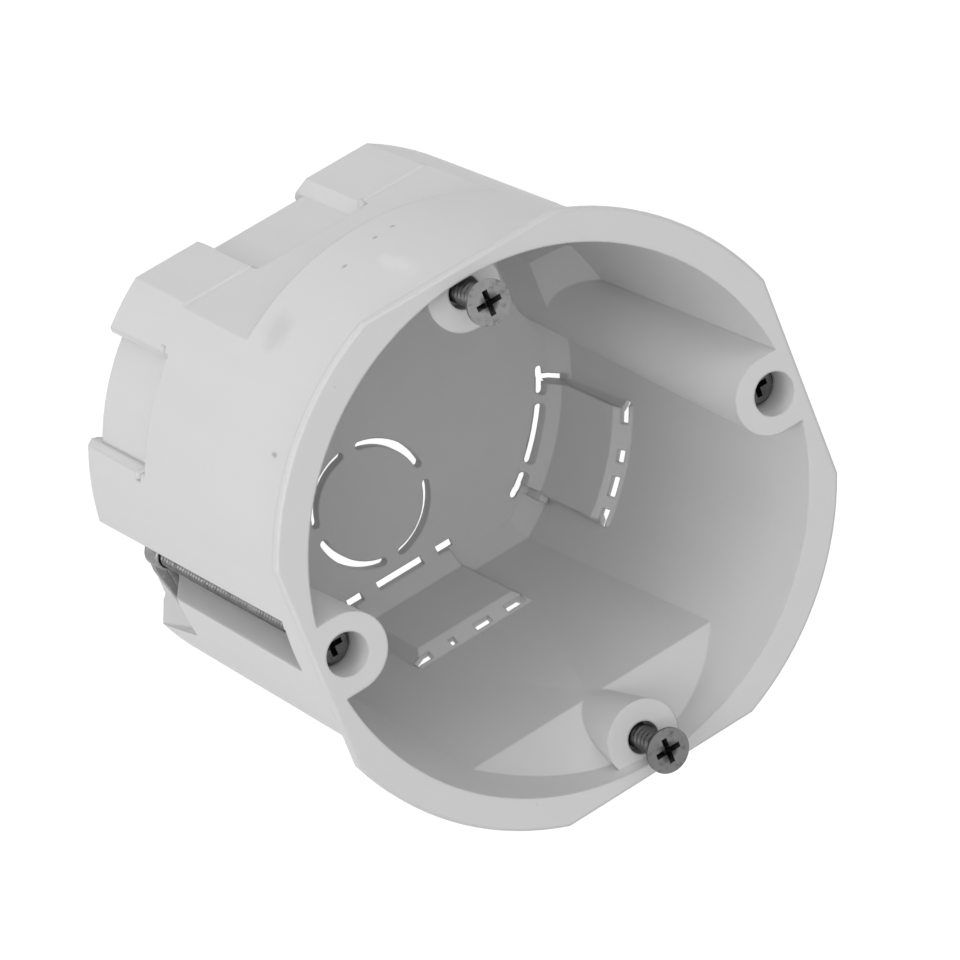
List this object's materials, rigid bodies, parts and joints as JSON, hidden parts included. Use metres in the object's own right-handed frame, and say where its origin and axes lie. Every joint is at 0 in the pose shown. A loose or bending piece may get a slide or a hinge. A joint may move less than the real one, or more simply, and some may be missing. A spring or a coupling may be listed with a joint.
{
  "type": "flush mounting box",
  "caption": "Deep round flush mounting box with a thin front flange, stepped knock-outs, device screws and swing-out wall claws.",
  "frame": {"origin": "centre of the rear face", "axes": "+Z from the rear face out of the mouth, towards the room; claw screws on the X axis, device screws on the Y axis"},
  "size_m": [0.0676, 0.0676, 0.0622],
  "materials": {
    "moulded_plastic": "fine satin moulded surface",
    "plated_steel": "dull zinc plating",
    "claw_steel": "dull punched sheet"
  },
  "bodies": {
    "box_body": {"box": "moulded_plastic"},
    "device_screw_upper": {"device_screw_upper": "plated_steel"},
    "device_screw_lower": {"device_screw_lower": "plated_steel"},
    "claw_screw_left": {"claw_screw_left": "plated_steel"},
    "claw_screw_right": {"claw_screw_right": "plated_steel"},
    "claw_left": {"claw_left": "claw_steel"},
    "claw_right": {"claw_right": "claw_steel"}
  },
  "joints": [
    {"name": "device_screw_upper_travel", "type": "slide", "parent": "box_body", "child": "device_screw_upper", "axis": [0, 0, 1], "range_m": [-0.0028, 0.018]},
    {"name": "device_screw_lower_travel", "type": "slide", "parent": "box_body", "child": "device_screw_lower", "axis": [0, 0, 1], "range_m": [-0.0028, 0.018]},
    {"name": "claw_screw_left_turn", "type": "hinge", "parent": "box_body", "child": "claw_screw_left", "pos_m": [-0.02984, 0, 0.05], "axis": [0, 0, 1], "continuous": true},
    {"name": "claw_screw_right_turn", "type": "hinge", "parent": "box_body", "child": "claw_screw_right", "pos_m": [0.02984, 0, 0.05], "axis": [0, 0, 1], "continuous": true},
    {"name": "claw_left_swing", "type": "hinge", "parent": "box_body", "child": "claw_left", "pos_m": [-0.02984, 0, 0.0104], "axis": [0, 0, -1], "range_deg": [0, 90]},
    {"name": "claw_right_swing", "type": "hinge", "parent": "box_body", "child": "claw_right", "pos_m": [0.02984, 0, 0.0104], "axis": [0, 0, -1], "range_deg": [0, 90]}
  ]
}
